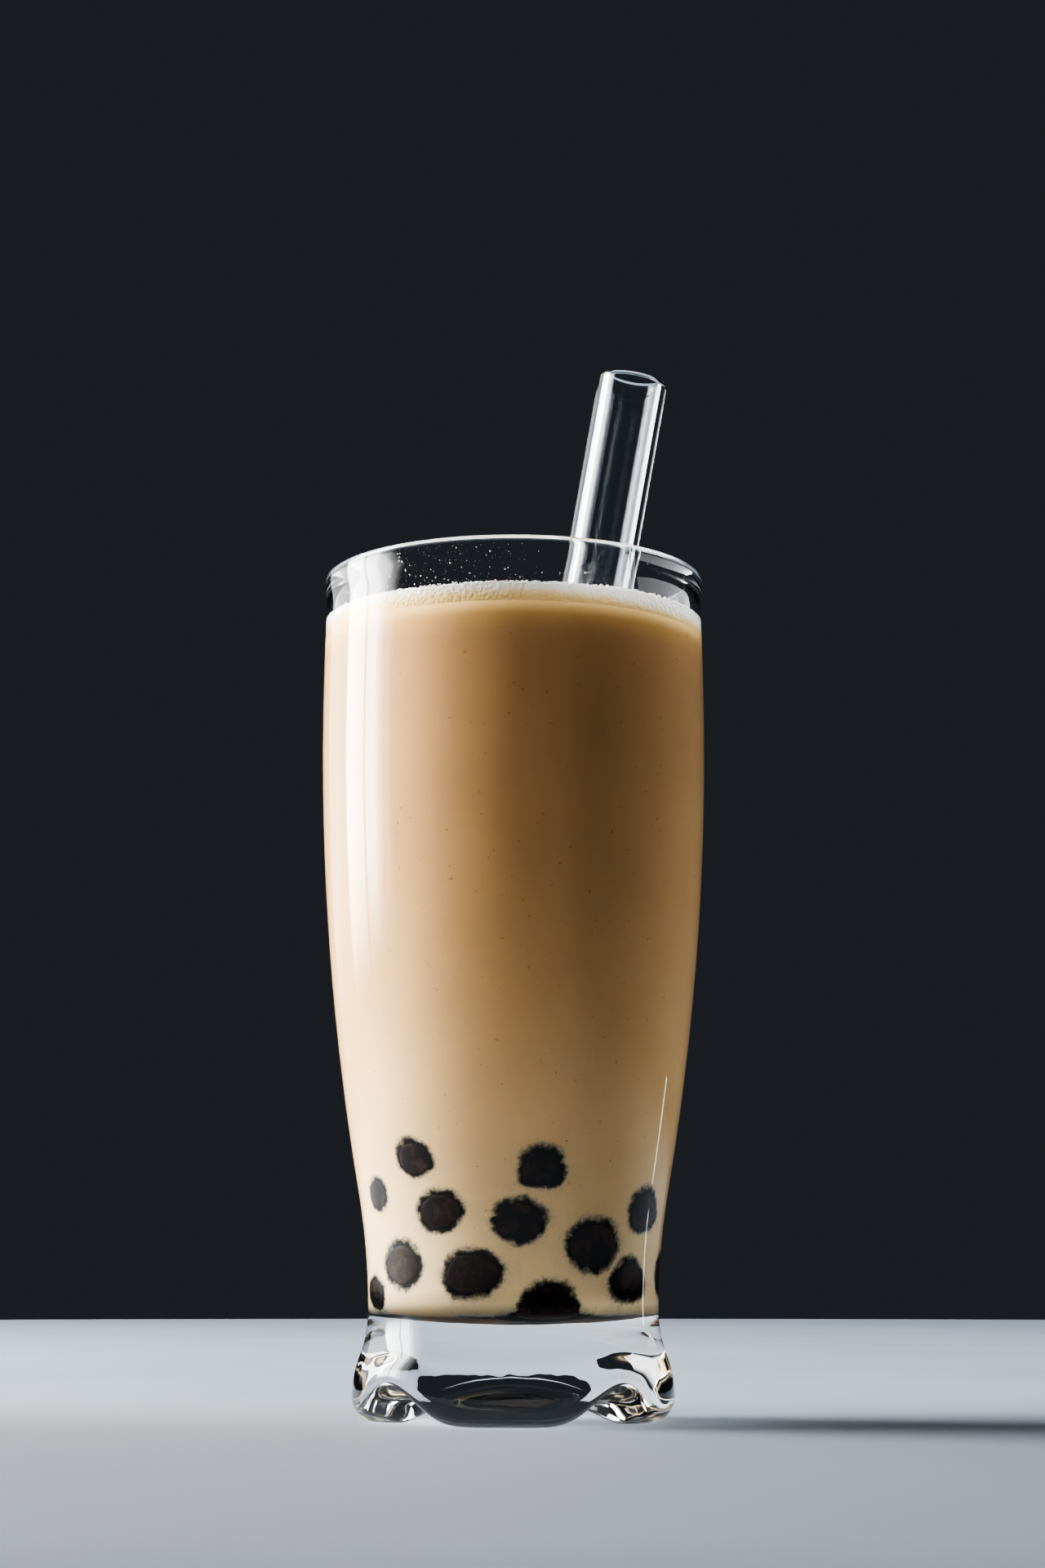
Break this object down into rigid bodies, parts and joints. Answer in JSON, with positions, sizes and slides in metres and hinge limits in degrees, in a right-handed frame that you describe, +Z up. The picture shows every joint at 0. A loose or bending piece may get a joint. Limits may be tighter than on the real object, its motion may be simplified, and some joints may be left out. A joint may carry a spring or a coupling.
{
  "type": "glass of bubble tea",
  "caption": "Milk tea with tapioca pearls and a thin layer of foam in a tall footed clear glass, with a wide clear glass straw leaning on the lip.",
  "frame": {"origin": "on the table, under the middle of the glass", "axes": "+Z up along the glass, +X to the right and -Y towards the side from which the straw leans to the right and slightly forwards"},
  "size_m": [0.0734, 0.0734, 0.1943],
  "materials": {
    "clear_glass": "polished",
    "milk_tea": "wet liquid",
    "milk_foam": "fine foam",
    "straw_glass": "polished"
  },
  "bodies": {
    "root": {"glass": "clear_glass", "tea": "milk_tea", "foam": "milk_foam", "straw": "straw_glass"}
  },
  "joints": []
}
